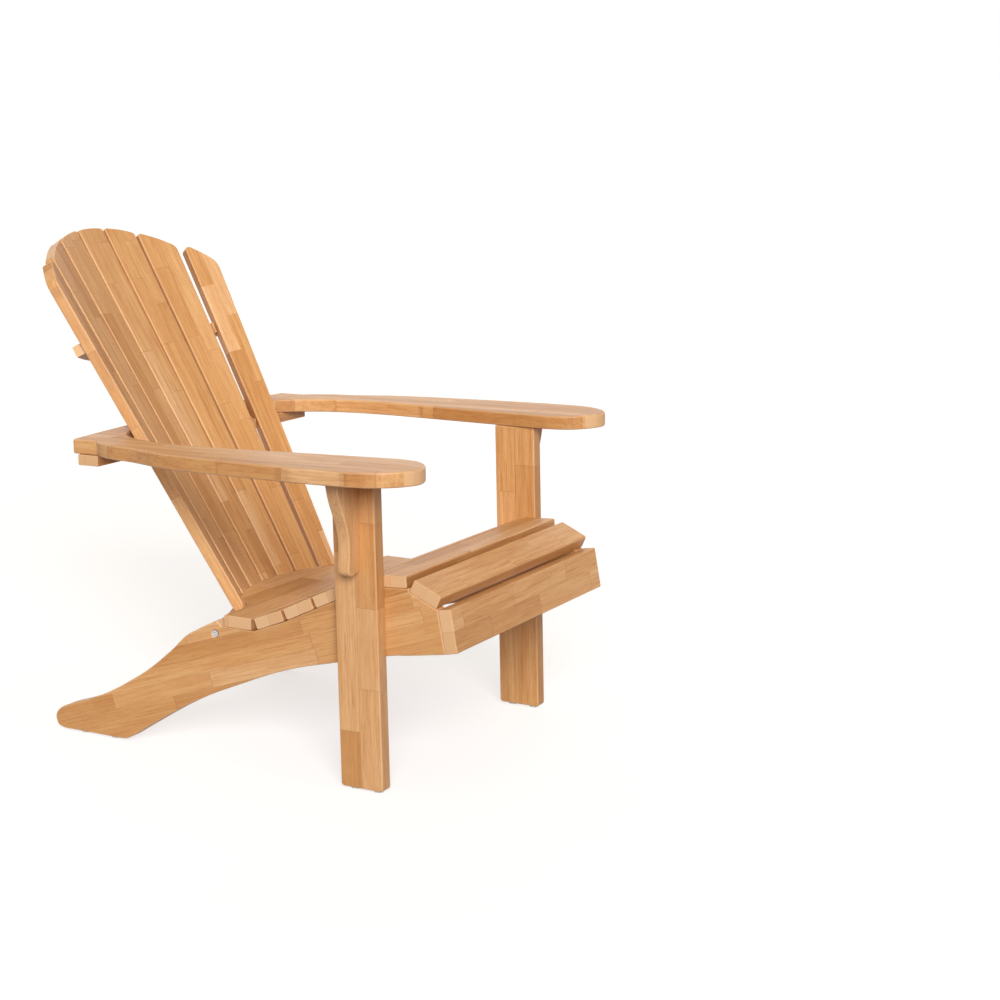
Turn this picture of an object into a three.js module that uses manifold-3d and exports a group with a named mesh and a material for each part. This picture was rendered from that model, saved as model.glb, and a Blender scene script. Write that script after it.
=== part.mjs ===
// A fixed teak adirondack chair. Millimetres, Z up, the sitter faces -Y and the floor is z = 0.
import * as THREE from "three";
import { mergeVertices } from "three/addons/utils/BufferGeometryUtils.js";
import Module from "manifold-3d";

const wasm = await Module();
wasm.setup();

// Driving sizes. Every y below is measured back from the front face of the leg at the floor, and the middle
// of the chair's depth lies at depthMiddle.
const depthMiddle = 362;
const gap = 0.3;
const seatWidth = 544;
const boardThickness = 26;
const glideHeight = 4;
const glideRadius = 9;
const edgeRadius = 2;

const legDepth = 84;
const legLean = 1.26;
const legCorner = 6;

const armUnderAtLeg = 552.8;
const armFall = 0.01523;
const armThickness = 26;
const armTailWidth = 326.7;

const slatThickness = 21;
const nosingThickness = 24;
const rearSeatTop = 269.2;
const rearSeatFront = 285;

const backFootY = 395;
const backFootZ = 205;
const backLean = 32;
const backRadius = 325;
const backFlare = 0.2365;
const backSlatAngle = 0.145;
// The edges of the slats to one side of the middle, counted in slat angles.
const backSlatEdges = [0.5, 1.5, 2.6, 3.48];
const backSlatGap = 5.5;
const backSlatLength = 841;
const backSlatStart = 8;
const backCrownRadius = 270;
const outerSlatSplay = 11;

const lowerRailZ = 219;
const lowerRailThickness = 25;
const boltY = 364.8;
const boltZ = 231.7;
const boltHeadRadius = 6.5;
const boltShankRadius = 3;
const socketRadius = 3.3;
const midRailThickness = 20;
const upperRailAt = 574;
const upperRailThickness = 22;
const upperRailDepth = 14;
const upperRailHalf = 236;

const wood = { color: 0xd9a876, roughness: 0.55, metalness: 0 };
const steel = { color: 0x9a9b9c, roughness: 0.35, metalness: 1 };
const plastic = { color: 0xf1f0ec, roughness: 0.5, metalness: 0 };

const chair = new THREE.Group();
chair.name = "adirondack_chair";
chair.position.y = -depthMiddle;

function mesh(name, geometry, look) {
  const made = new THREE.Mesh(geometry, new THREE.MeshStandardMaterial(look));
  made.name = name;
  return made;
}

// A board sawn to an outline and eased along its edges; the outline lies in local x and y.
function board(name, shape, thickness, ease = edgeRadius, curveSegments = 6) {
  const geometry = new THREE.ExtrudeGeometry(shape, {
    depth: thickness - 2 * ease,
    bevelEnabled: ease > 0,
    bevelThickness: ease,
    bevelSize: ease,
    bevelOffset: -ease,
    bevelSegments: 2,
    curveSegments,
  });
  geometry.translate(0, 0, ease);
  return mesh(name, geometry, wood);
}

// Turns a board so that its outline lies in y and z and its thickness runs along x.
function standAlongY(piece) {
  piece.quaternion.setFromAxisAngle(new THREE.Vector3(1, 1, 1).normalize(), (2 * Math.PI) / 3);
  return piece;
}

function points(pairs) {
  return pairs.map(([x, y]) => new THREE.Vector2(x, y));
}

function solidOf(piece) {
  piece.updateMatrixWorld(true);
  const plain = piece.geometry.clone().applyMatrix4(piece.matrixWorld);
  plain.deleteAttribute("normal");
  plain.deleteAttribute("uv");
  const merged = mergeVertices(plain, 1e-4);
  const index = merged.index.array;
  return new wasm.Manifold(
    new wasm.Mesh({
      numProp: 3,
      vertProperties: merged.attributes.position.array,
      triVerts: new Uint32Array(index),
    }),
  );
}

// Cuts the cutters out of a piece.
function carve(piece, cutters) {
  let solid = solidOf(piece);
  for (const cutter of cutters) solid = solid.subtract(solidOf(cutter));
  const cut = solid.getMesh();
  const geometry = new THREE.BufferGeometry();
  geometry.setAttribute("position", new THREE.BufferAttribute(new Float32Array(cut.vertProperties), 3));
  geometry.setIndex(new THREE.BufferAttribute(new Uint32Array(cut.triVerts), 1));
  geometry.computeVertexNormals();
  return mesh(piece.name, geometry, wood);
}

function armUnder(y) {
  return armUnderAtLeg - armFall * y;
}

// The backrest: a leaning cone, hollow towards the sitter. t runs up it and phi runs round it.
const lean = THREE.MathUtils.degToRad(backLean);
const up = new THREE.Vector3(0, Math.sin(lean), Math.cos(lean));
const rearward = new THREE.Vector3(0, Math.cos(lean), -Math.sin(lean));

function backPoint(phi, t, outward = 0) {
  const radius = backRadius + backFlare * t;
  return new THREE.Vector3(0, backFootY, backFootZ)
    .addScaledVector(up, t)
    .addScaledVector(rearward, (radius + outward) * Math.cos(phi) - radius)
    .add(new THREE.Vector3((radius + outward) * Math.sin(phi), 0, 0));
}

// The frame of slat i, counted from the middle one: across it, along it, and out of its rear face.
function slatFrame(i) {
  const outer = backSlatEdges[Math.abs(i)] * backSlatAngle;
  const inner = i === 0 ? -outer : backSlatEdges[Math.abs(i) - 1] * backSlatAngle;
  const phi = (Math.sign(i) * (outer + inner)) / 2;
  const halfAngle = (outer - inner) / 2;
  const foot = backPoint(phi, 0);
  const along = backPoint(phi, 100).sub(foot).normalize();
  const round = new THREE.Vector3(Math.cos(phi), 0, 0).addScaledVector(rearward, -Math.sin(phi));
  const across = round.addScaledVector(along, -round.dot(along)).normalize();
  const out = new THREE.Vector3().crossVectors(across, along);
  if (out.dot(rearward) < 0) out.negate();
  const splay = Math.abs(i) === 3 ? Math.sign(i) * outerSlatSplay : 0;
  return { phi, halfAngle, foot, along, across, out, splay };
}

// A point of the slat's front face, in the slat's own two coordinates.
function onSlat(frame, phi, t) {
  const offset = backPoint(phi, t).sub(frame.foot);
  return new THREE.Vector2(offset.dot(frame.across), offset.dot(frame.along));
}

function slatTop(phi) {
  const arc = phi * (backRadius + backFlare * backSlatLength);
  return backSlatLength - (arc * arc) / (2 * backCrownRadius);
}

// A point of a slat's edge. The two outer slats splay, so their gap opens towards the top.
function slatEdge(frame, side, t, inset) {
  const at = onSlat(frame, frame.phi + side * frame.halfAngle, t);
  at.x += (frame.splay * t) / backSlatLength - side * inset;
  return at;
}

// Rounds the corner b of the path a, b, c.
function roundCorner(shape, a, b, c, radius) {
  const into = a.clone().sub(b).setLength(radius).add(b);
  const away = c.clone().sub(b).setLength(radius).add(b);
  shape.lineTo(into.x, into.y);
  shape.quadraticCurveTo(b.x, b.y, away.x, away.y);
}

function placeOnSlat(piece, frame, lift) {
  const basis = new THREE.Matrix4().makeBasis(frame.across, frame.along, frame.out);
  if (basis.determinant() < 0) basis.makeBasis(frame.across.clone().negate(), frame.along, frame.out);
  piece.quaternion.setFromRotationMatrix(basis);
  piece.position.copy(frame.foot).addScaledVector(frame.out, lift);
  return piece;
}

function slatShape(frame, mirror) {
  const inset = backSlatGap / 2;
  const phiAt = (side) => frame.phi + side * frame.halfAngle;
  const corners = [
    slatEdge(frame, -1, backSlatStart, inset),
    slatEdge(frame, 1, backSlatStart, inset),
    slatEdge(frame, 1, slatTop(phiAt(1)), inset),
    slatEdge(frame, -1, slatTop(phiAt(-1)), inset),
  ];
  const crown = slatEdge(frame, 0, slatTop(frame.phi), 0);
  for (const corner of [...corners, crown]) corner.x *= mirror;
  const [low, lowFar, highFar, high] = corners;
  const radius = 6 + 52 * frame.phi * frame.phi;
  const shape = new THREE.Shape();
  shape.moveTo(low.x, low.y);
  shape.lineTo(lowFar.x, lowFar.y);
  roundCorner(shape, lowFar, highFar, crown, radius);
  roundCorner(shape, highFar, crown, high, 14);
  roundCorner(shape, crown, high, low, radius);
  return shape;
}

function backSlat(i) {
  const frame = slatFrame(i);
  const handed = new THREE.Vector3().crossVectors(frame.across, frame.along).dot(frame.out);
  const piece = board(`back_slat_${i + 4}`, slatShape(frame, Math.sign(handed)), slatThickness);
  return placeOnSlat(piece, frame, 0);
}

// What the slats take away: all that lies in front of their rear faces, for the rails behind them, or all
// that lies behind their front faces, for the board they pass. Neighbours spread apart only behind them.
function slatCutters(forRails) {
  return [-3, -2, -1, 0, 1, 2, 3].map((i) => {
    const frame = slatFrame(i);
    const handed = Math.sign(new THREE.Vector3().crossVectors(frame.across, frame.along).dot(frame.out));
    const corner = (side, t) => {
      const at = slatEdge(frame, side, t, forRails || side * i === 3 ? -2 : -60);
      return new THREE.Vector2(at.x * handed, at.y);
    };
    const shape = new THREE.Shape([corner(-1, -150), corner(1, -150), corner(1, 900), corner(-1, 900)]);
    const lift = forRails ? slatThickness + gap - 120 : -gap;
    return placeOnSlat(board("cutter", shape, 120, 0), frame, lift);
  });
}

// Seat slats, from the second to the sixth: top rear corner, width and rise towards the front.
const seatSlats = [
  { y: 280.2, z: 269.7, width: 61.5, rise: 21.5 },
  { y: 218.0, z: 294.4, width: 62.5, rise: 25.5 },
  { y: 156.6, z: 323.6, width: 62.5, rise: 25 },
  { y: 94.6, z: 352.2, width: 62.5, rise: 22 },
  { y: 28.6, z: 377.9, width: 62.6, rise: 3.6 },
];

function seatDirection(slat) {
  const rise = THREE.MathUtils.degToRad(slat.rise);
  return new THREE.Vector2(-Math.cos(rise), Math.sin(rise));
}

function below(slat, along, depth) {
  const run = seatDirection(slat);
  return new THREE.Vector2(
    slat.y + run.x * along - run.y * depth,
    slat.z + run.y * along + run.x * depth,
  );
}

// A slat's end outline with eased corners; the nosing's front upper corner is rounder.
function slatEnd(slat, thickness, frontRadius) {
  const corners = [
    below(slat, 0, 0),
    below(slat, slat.width, 0),
    below(slat, slat.width, thickness),
    below(slat, 0, thickness),
  ];
  const radii = [3, frontRadius, 3, 3];
  const shape = new THREE.Shape();
  const start = corners[3].clone().sub(corners[0]).setLength(6).add(corners[0]);
  shape.moveTo(start.x, start.y);
  corners.forEach((corner, n) => {
    roundCorner(shape, corners[(n + 3) % 4], corner, corners[(n + 1) % 4], radii[n]);
  });
  return shape;
}

function seatSlat(name, slat, thickness, frontRadius) {
  const piece = board(name, slatEnd(slat, thickness, frontRadius), seatWidth, 1, 4);
  standAlongY(piece).position.x = -seatWidth / 2;
  return piece;
}

// The rear seat board widens in the middle to meet the curved backrest.
function rearSeatBoard() {
  const half = seatWidth / 2;
  const side = points([[half, 343], [222, 344], [192, 352], [173, 366], [163, 380]]);
  const shape = new THREE.Shape();
  shape.moveTo(-half, rearSeatFront);
  shape.lineTo(half, rearSeatFront);
  shape.lineTo(side[0].x, side[0].y);
  shape.splineThru(side.slice(1));
  shape.lineTo(120, 450);
  shape.lineTo(-120, 450);
  shape.lineTo(-side[4].x, side[4].y);
  shape.splineThru(side.slice(0, 4).reverse().map((p) => new THREE.Vector2(-p.x, p.y)));
  shape.lineTo(-half, rearSeatFront);
  const piece = board("rear_seat_board", shape, 22);
  piece.position.z = rearSeatTop - 22;
  return carve(piece, slatCutters(false));
}

const nosing = { y: -49.8, z: 377.5, width: 57.2, rise: -24.6 };

// Meeting point of the undersides of two neighbouring seat slats.
function meet(a, b, depth) {
  const p = below(a, 0, depth);
  const q = below(b, 0, depth);
  const u = seatDirection(a);
  const v = seatDirection(b);
  const s = ((q.x - p.x) * v.y - (q.y - p.y) * v.x) / (u.x * v.y - u.y * v.x);
  return new THREE.Vector2(p.x + u.x * s, p.y + u.y * s);
}

// A side rail: rear foot, sweep up to the shoulder, seat bed, and a long hollow underside.
function railShape() {
  const bed = slatThickness + gap;
  const shape = new THREE.Shape();
  shape.moveTo(582, glideHeight);
  shape.lineTo(720, glideHeight);
  shape.splineThru(points([[734, 9], [739.7, 25], [730, 40.5], [704, 53.3], [655, 70], [606, 92],
    [560, 118], [513, 148.5], [463, 189], [430, 219.5], [396, 239], [361.4, 256.5]]));
  shape.lineTo(350.5, 246.9);
  const dip = meet({ y: 350, z: rearSeatTop - 22 + slatThickness, rise: 0 }, seatSlats[0], bed);
  shape.lineTo(dip.x, dip.y);
  seatSlats.slice(1).forEach((slat, n) => {
    const corner = meet(seatSlats[n], slat, bed);
    shape.lineTo(corner.x, corner.y);
  });
  const front = seatSlats[4];
  const step = [below(front, front.width + 2.5, bed), below(nosing, -1, nosingThickness + gap),
    below(nosing, 60, nosingThickness + gap)];
  for (const corner of step) shape.lineTo(corner.x, corner.y);
  shape.lineTo(-108.9, 255.4);
  shape.lineTo(-33.9, 243.7);
  shape.splineThru(points([[5.7, 237.8], [108, 212.8], [183.4, 194], [246.5, 172.8], [311.8, 145.8],
    [378.6, 116.8], [445.5, 82.1], [517.2, 38.6], [564.6, 9.2], [582, glideHeight]]));
  return shape;
}

function sideRail(name, side) {
  const piece = standAlongY(board(name, railShape(), boardThickness));
  piece.position.x = side > 0 ? seatWidth / 2 - boardThickness : -seatWidth / 2;
  return carve(piece, [boltHole(side)]);
}

// The socket-head bolt that holds the lower back rail, and the hole it sits in.
function turned(profile, segments) {
  const geometry = new THREE.LatheGeometry(points(profile), segments);
  return geometry.deleteAttribute("uv");
}

// The lathe axis is y, so a bolt is turned to point out of its rail.
function placeBolt(piece, side) {
  piece.rotation.z = (-side * Math.PI) / 2;
  piece.position.set(side * (seatWidth / 2 - 6), boltY, boltZ);
  return piece;
}

function boltHole(side) {
  const shank = boltShankRadius + 0.4;
  const head = boltHeadRadius + 0.6;
  const profile = [[0, -62], [shank, -62], [shank, 0], [head, 0], [head, 12], [0, 12]];
  return placeBolt(mesh("hole", turned(profile, 24)), side);
}

function bolt(name, side) {
  const profile = [[0, -60], [boltShankRadius, -60], [boltShankRadius, gap], [boltHeadRadius, gap],
    [boltHeadRadius, 4.6], [boltHeadRadius - 0.7, 5.3], [0, 5.3]];
  const body = mesh(name, turned(profile, 24));
  const socket = mesh("socket", new THREE.CylinderGeometry(socketRadius, socketRadius, 8, 6));
  socket.position.y = 6.3;
  const made = carve(body, [socket]);
  made.material = new THREE.MeshStandardMaterial(steel);
  return placeBolt(made, side);
}

function leg(name, side) {
  const shift = Math.tan(THREE.MathUtils.degToRad(legLean));
  const at = (y, z) => new THREE.Vector2(y + shift * z, z);
  const top = (y) => armUnder(y + shift * armUnderAtLeg) - gap;
  const corners = [[0, glideHeight], [legDepth, glideHeight], [legDepth, top(legDepth)], [0, top(0)]]
    .map(([y, z]) => at(y, z));
  const shape = new THREE.Shape();
  shape.moveTo(corners[3].x, corners[3].y);
  roundCorner(shape, corners[3], corners[0], corners[1], legCorner);
  roundCorner(shape, corners[0], corners[1], corners[2], legCorner);
  shape.lineTo(corners[2].x, corners[2].y);
  const piece = standAlongY(board(name, shape, boardThickness));
  piece.position.x = side > 0 ? seatWidth / 2 + gap : -seatWidth / 2 - gap - boardThickness;
  return piece;
}

// The armrest is broad over the leg and hooks inwards behind the backrest.
function arm(name, side) {
  const flip = (pairs) => points(pairs.map(([x, y]) => [side * x, y]));
  const shape = new THREE.Shape();
  shape.moveTo(side * 138, 645);
  shape.splineThru(flip([[200, 640.5], [262, 635], [armTailWidth - 6, 628]]));
  shape.lineTo(side * armTailWidth, 624);
  shape.lineTo(side * armTailWidth, 572);
  shape.splineThru(flip([[342, 546], [354, 512], [361, 468], [385, 393], [397, 310], [406, 190], [410, 77],
    [408, -15], [394, -58], [370, -88], [341, -103], [313, -98], [286, -80], [270, -57], [262, -18]]));
  shape.splineThru(flip([[267, 41], [273, 106], [281, 190], [289, 270], [296, 355], [295, 428],
    [284, 491], [264, 540], [238, 575], [205, 593.5], [160, 616.5], [138, 625.5]]));
  shape.lineTo(side * 138, 645);
  const piece = board(name, shape, armThickness, 3, 3);
  piece.position.z = armUnderAtLeg;
  piece.rotation.x = -Math.atan(armFall);
  return carve(piece, slatCutters(true));
}

// The bracket under the arm stands square to the leg's outer face.
function bracket(name, side) {
  const shape = new THREE.Shape();
  shape.moveTo(0, 0);
  shape.lineTo(0, -164);
  shape.lineTo(20, -168);
  shape.quadraticCurveTo(32, -168, 33, -154);
  shape.splineThru(points([[31, -118], [36, -88], [48, -60], [60, -34], [70, 0]]));
  shape.lineTo(0, 0);
  const piece = board(name, shape, 23);
  piece.rotation.x = Math.PI / 2;
  piece.position.set(seatWidth / 2 + 2 * gap + boardThickness, 63.5, armUnder(63.5) - 1);
  if (side > 0) return piece;
  piece.rotation.z = Math.PI;
  piece.rotation.order = "ZXY";
  piece.position.set(-seatWidth / 2 - 2 * gap - boardThickness, 40.5, armUnder(63.5) - 1);
  return piece;
}

// A level back rail, hollow in front where the slats bear on it.
function levelRail(name, z, thickness, frontEnd, rear, halfWidth) {
  const shape = new THREE.Shape();
  shape.moveTo(-halfWidth, frontEnd);
  shape.lineTo(halfWidth, frontEnd);
  shape.lineTo(rear[0][0], rear[0][1]);
  shape.splineThru(points([...rear.slice(1), ...rear.slice(0, -1).reverse().map(([x, y]) => [-x, y])]));
  shape.lineTo(-halfWidth, frontEnd);
  const piece = board(name, shape, thickness);
  piece.position.z = z;
  return piece;
}

function lowerRail() {
  const half = seatWidth / 2 - boardThickness - gap;
  const piece = levelRail("lower_back_rail", lowerRailZ, lowerRailThickness, 343,
    [[half, 386], [200, 396], [150, 416], [100, 438], [0, 462]], half);
  return carve(piece, [...slatCutters(true), boltHole(1), boltHole(-1)]);
}

function midRail() {
  const piece = levelRail("middle_back_rail", 0, midRailThickness, 0,
    [[armTailWidth, 44.5], [240, 60], [130, 82], [0, 92]], armTailWidth);
  piece.position.set(0, 569.3, armUnder(569.3) - gap - midRailThickness);
  piece.rotation.x = -Math.atan(armFall);
  return carve(piece, slatCutters(true));
}

// The upper rail lies square to the lean of the backrest.
function upperRail() {
  const inner = backRadius + backFlare * upperRailAt + 6;
  const outer = inner + slatThickness + upperRailDepth;
  const reach = Math.asin(upperRailHalf / outer);
  const shape = new THREE.Shape();
  shape.absarc(0, 0, outer, Math.PI / 2 - reach, Math.PI / 2 + reach, false);
  shape.absarc(0, 0, inner, Math.PI / 2 + reach, Math.PI / 2 - reach, true);
  const piece = board("upper_back_rail", shape, upperRailThickness, 2, 16);
  const across = new THREE.Vector3(1, 0, 0);
  piece.quaternion.setFromRotationMatrix(new THREE.Matrix4().makeBasis(across, rearward, up));
  piece.position.copy(backPoint(0, upperRailAt)).addScaledVector(rearward, 6 - inner);
  return carve(piece, slatCutters(true));
}

function apron() {
  const shape = new THREE.Shape(points([[-95.2, 331.2], [-119.6, 334.4], [-133.1, 260.8], [-109.4, 255.5]]));
  const piece = standAlongY(board("front_apron", shape, seatWidth));
  piece.position.x = -seatWidth / 2;
  return piece;
}

function glide(name, x, y) {
  const top = glideHeight - gap;
  const profile = [[0, 0], [glideRadius - 1, 0], [glideRadius, 1], [glideRadius, top], [0, top]];
  const piece = mesh(name, turned(profile, 20), plastic);
  piece.rotation.x = Math.PI / 2;
  piece.position.set(x, y, 0);
  return piece;
}

const pieces = [
  rearSeatBoard(),
  ...seatSlats.map((slat, n) => seatSlat(`seat_slat_${n + 2}`, slat, slatThickness, 3)),
  seatSlat("seat_nosing", nosing, nosingThickness, 5),
  ...[-3, -2, -1, 0, 1, 2, 3].map(backSlat),
  lowerRail(),
  midRail(),
  upperRail(),
  apron(),
];
for (const [word, side] of [["right", -1], ["left", 1]]) {
  pieces.push(
    sideRail(`side_rail_${word}`, side),
    leg(`leg_${word}`, side),
    arm(`arm_${word}`, side),
    bracket(`arm_bracket_${word}`, side),
    bolt(`rail_bolt_${word}`, side),
    glide(`glide_leg_front_${word}`, side * (seatWidth / 2 + 13), 16),
    glide(`glide_leg_rear_${word}`, side * (seatWidth / 2 + 13), 62),
    glide(`glide_foot_front_${word}`, side * (seatWidth / 2 - 13), 607),
    glide(`glide_foot_rear_${word}`, side * (seatWidth / 2 - 13), 677),
  );
}
chair.add(...pieces);

export default chair;
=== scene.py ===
# %% [markdown]
# # A teak adirondack chair
# This is a low, fixed garden chair of light teak. Two side rails sweep from the rear feet up to the
# front, two broad boards stand outside them as legs, wide arms run back over the legs, and seven tapered
# slats fan out as the backrest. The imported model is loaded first, as the frame that every finished piece
# has to fit.

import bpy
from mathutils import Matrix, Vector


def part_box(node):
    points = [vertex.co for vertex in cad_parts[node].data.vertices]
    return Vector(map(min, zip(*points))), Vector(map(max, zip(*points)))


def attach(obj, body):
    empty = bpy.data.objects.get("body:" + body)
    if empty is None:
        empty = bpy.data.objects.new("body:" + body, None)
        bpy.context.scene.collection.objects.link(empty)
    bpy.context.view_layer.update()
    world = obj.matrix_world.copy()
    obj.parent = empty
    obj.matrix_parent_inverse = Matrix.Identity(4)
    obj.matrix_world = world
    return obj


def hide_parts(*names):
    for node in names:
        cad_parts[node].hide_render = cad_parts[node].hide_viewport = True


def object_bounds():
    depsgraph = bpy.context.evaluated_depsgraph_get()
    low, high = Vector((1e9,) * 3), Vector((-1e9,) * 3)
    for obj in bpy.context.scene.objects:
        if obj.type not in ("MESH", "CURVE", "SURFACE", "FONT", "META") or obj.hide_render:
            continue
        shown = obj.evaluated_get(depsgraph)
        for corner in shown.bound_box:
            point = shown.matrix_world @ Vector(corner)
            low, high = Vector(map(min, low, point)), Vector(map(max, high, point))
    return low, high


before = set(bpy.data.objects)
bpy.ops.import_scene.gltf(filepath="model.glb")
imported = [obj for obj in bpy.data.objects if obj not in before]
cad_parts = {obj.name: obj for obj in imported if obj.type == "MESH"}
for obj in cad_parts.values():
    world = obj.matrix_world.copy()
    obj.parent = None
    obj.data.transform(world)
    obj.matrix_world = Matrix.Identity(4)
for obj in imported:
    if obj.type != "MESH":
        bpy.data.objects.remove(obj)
cad_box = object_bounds()
print("CAD nodes:", len(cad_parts), "box:", [round(v, 4) for corner in cad_box for v in corner])

# %% [markdown]
# Blender works in metres and the chair was drawn in millimetres, so one constant turns one into the
# other. Sizes stay in millimetres wherever a maker would read them off a drawing.

# %% Units and tools
import math
import random

import bmesh
import bpy
from mathutils import Matrix, Vector

MM = 0.001
scene = bpy.context.scene
draw = random.Random(11)
print("one millimetre is", MM, "Blender units")

# %% [markdown]
# Node trees are long when they are written out, so one small function adds a node. Keyword arguments are
# the node's own properties, and the dictionary says what goes into its inputs: a socket is joined, a
# value is set.


# %% A function that adds a node
def add(tree, kind, inputs=None, **settings):
    node = tree.nodes.new(kind)
    for name, value in settings.items():
        setattr(node, name, value)
    for key, value in (inputs or {}).items():
        if isinstance(value, bpy.types.NodeSocket):
            tree.links.new(value, node.inputs[key])
        else:
            node.inputs[key].default_value = value
    return node


def colour(code):
    """A hex colour as it looks on a screen, turned into the linear light that shaders count in."""
    parts = [int(code[n : n + 2], 16) / 255 for n in (1, 3, 5)]
    return [p / 12.92 if p <= 0.04045 else ((p + 0.055) / 1.055) ** 2.4 for p in parts] + [1.0]


print("paper white in linear light:", [round(v, 3) for v in colour("#f4f2ee")])

# %% [markdown]
# ## Oiled plantation teak
# The boards are teak, glued up from short blocks: staves about 30 to 45 mm wide, each a row of blocks
# butted end to end, sawn and sanded flat. No two blocks match, so the eye reads a patchwork of honey,
# straw and light brown, with fine dark streaks along the grain, thin glue lines and paler end grain. A
# picture of wood would repeat and would not follow the boards, so the wood is worked out from three
# attributes that every board carries. "grain" gives a place in the board along, across and through its
# grain in metres, "stave" gives the same place counted in blocks and staves, and "finish" marks the end
# grain and the eased edges, which get a painted highlight.

# %% Teak: the place in the board
teak = bpy.data.materials.new("glued_plantation_teak_light_oil")
teak.use_nodes = True
wood = teak.node_tree
wood.nodes.clear()

grain = add(wood, "ShaderNodeAttribute", attribute_name="grain").outputs["Vector"]
stave = add(wood, "ShaderNodeAttribute", attribute_name="stave").outputs["Vector"]
finish = add(wood, "ShaderNodeAttribute", attribute_name="finish").outputs["Vector"]
place = add(wood, "ShaderNodeSeparateXYZ", {0: stave})
marks = add(wood, "ShaderNodeSeparateXYZ", {0: finish})
print("teak: attributes read by", len(wood.nodes), "nodes")

# %% [markdown]
# The whole part of a count is the number of the stave or block, and a white noise turns that number into
# a draw that is the same all over the block. Joints in neighbouring staves must not line up, so each
# stave is shifted by its own draw. A slow sine wave then makes some blocks longer than others, as they
# are when a mill uses up short lengths.

# %% Teak: which block a point lies in
MOST_SHIFT = 7.3  # blocks
SWING = 0.28  # blocks
SWING_TURN = 2.1  # radians for each block

stave_number = add(wood, "ShaderNodeMath", {0: place.outputs["Y"]}, operation="FLOOR").outputs[0]
stave_key = add(wood, "ShaderNodeCombineXYZ", {0: stave_number, 1: place.outputs["Z"]})
stave_draw = add(wood, "ShaderNodeTexWhiteNoise", {"Vector": stave_key.outputs[0]}, noise_dimensions="3D")
shifted = add(
    wood,
    "ShaderNodeMath",
    {0: stave_draw.outputs["Value"], 1: MOST_SHIFT, 2: place.outputs["X"]},
    operation="MULTIPLY_ADD",
).outputs[0]
turns = add(wood, "ShaderNodeMath", {0: shifted, 1: SWING_TURN}, operation="MULTIPLY").outputs[0]
wave = add(wood, "ShaderNodeMath", {0: turns}, operation="SINE").outputs[0]
along_blocks = add(
    wood, "ShaderNodeMath", {0: wave, 1: SWING, 2: shifted}, operation="MULTIPLY_ADD"
).outputs[0]
block_number = add(wood, "ShaderNodeMath", {0: along_blocks}, operation="FLOOR").outputs[0]
block_key = add(
    wood, "ShaderNodeCombineXYZ", {0: block_number, 1: stave_number, 2: place.outputs["Z"]}
)
block_draw = add(wood, "ShaderNodeTexWhiteNoise", {"Vector": block_key.outputs[0]}, noise_dimensions="3D")
print("teak: staves and blocks numbered with", len(wood.nodes), "nodes")

# %% [markdown]
# Each block gets its own tone from a ramp of five wood colours, and its own piece of grain: the grain
# place is moved by a random amount for each block. Four noises stretched along the grain draw the figure,
# the fine streaks, the pores and a slow drift of tone: 1000 divided by a number of cycles is the width of
# one in millimetres. A real pore is 0.2 mm wide, too fine to show, so the pores are drawn about 1 mm wide
# and the streaks 3.

# %% Teak: tone, figure and streaks
TONES = {0.0: "#c9985f", 0.22: "#d4a46d", 0.5: "#dcae78", 0.78: "#e1b582", 1.0: "#e8c297"}
# cycles a metre along, across and through the grain; detail; roughness; distortion
PATTERNS = {
    "figure": ((5, 95, 95), 3.0, 0.5, 0.6),
    "streaks": ((11, 330, 330), 4.0, 0.6, 0.2),
    "pores": ((42, 1300, 1300), 2.0, 0.55, 0.0),
    "drift": ((2.2, 14, 14), 2.0, 0.55, 0.0),
}
# pattern, the value where it starts, the value where it is full, its most, its colour
STAINS = [
    ("figure", 0.35, 0.7, 0.55, "#e0bd94"),
    ("streaks", 0.5, 0.76, 0.62, "#c8945f"),
    ("pores", 0.56, 0.72, 0.42, "#a06f42"),
]
BLOCK_REACH = 3.0  # metres, the most by which a block's grain is moved
DRIFT_SHARE = 0.4

tone = add(wood, "ShaderNodeValToRGB", {0: block_draw.outputs["Value"]})
while len(tone.color_ramp.elements) < len(TONES):
    tone.color_ramp.elements.new(0.5)
for step, (position, code) in zip(tone.color_ramp.elements, TONES.items()):
    step.position = position
    step.color = colour(code)

moved = add(
    wood,
    "ShaderNodeVectorMath",
    {0: block_draw.outputs["Color"], 1: [BLOCK_REACH] * 3, 2: grain},
    operation="MULTIPLY_ADD",
).outputs[0]

pattern = {}
for name, (cycles, detail, rough, distortion) in PATTERNS.items():
    where = add(wood, "ShaderNodeVectorMath", {0: moved, 1: cycles}, operation="MULTIPLY").outputs[0]
    inputs = {"Vector": where, "Scale": 1.0, "Detail": detail, "Roughness": rough, "Distortion": distortion}
    pattern[name] = add(wood, "ShaderNodeTexNoise", inputs).outputs["Fac"]

body = tone.outputs[0]
for name, start, full, most, code in STAINS:
    inputs = {"Value": pattern[name], "From Min": start, "From Max": full, "To Max": most}
    amount = add(wood, "ShaderNodeMapRange", inputs).outputs[0]
    inputs = {0: amount, 6: body, 7: colour(code)}
    body = add(wood, "ShaderNodeMix", inputs, data_type="RGBA", blend_type="MULTIPLY").outputs[2]

inputs = {0: pattern["drift"], 6: colour("#877457"), 7: colour("#dccaae")}
mottle = add(wood, "ShaderNodeMix", inputs, data_type="RGBA").outputs[2]
inputs = {0: DRIFT_SHARE, 6: body, 7: mottle}
body = add(wood, "ShaderNodeMix", inputs, data_type="RGBA", blend_type="SOFT_LIGHT").outputs[2]
print("teak: long grain drawn with", len(wood.nodes), "nodes")

# %% [markdown]
# The sawn ends show the growth rings end on, as brown arcs about 3 mm apart in paler wood. The rings read
# the same place in the board, with its long direction left out. The wave texture turns through 20 radians
# in each unit of its scale, so its scale follows from the spacing of the rings.

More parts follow.
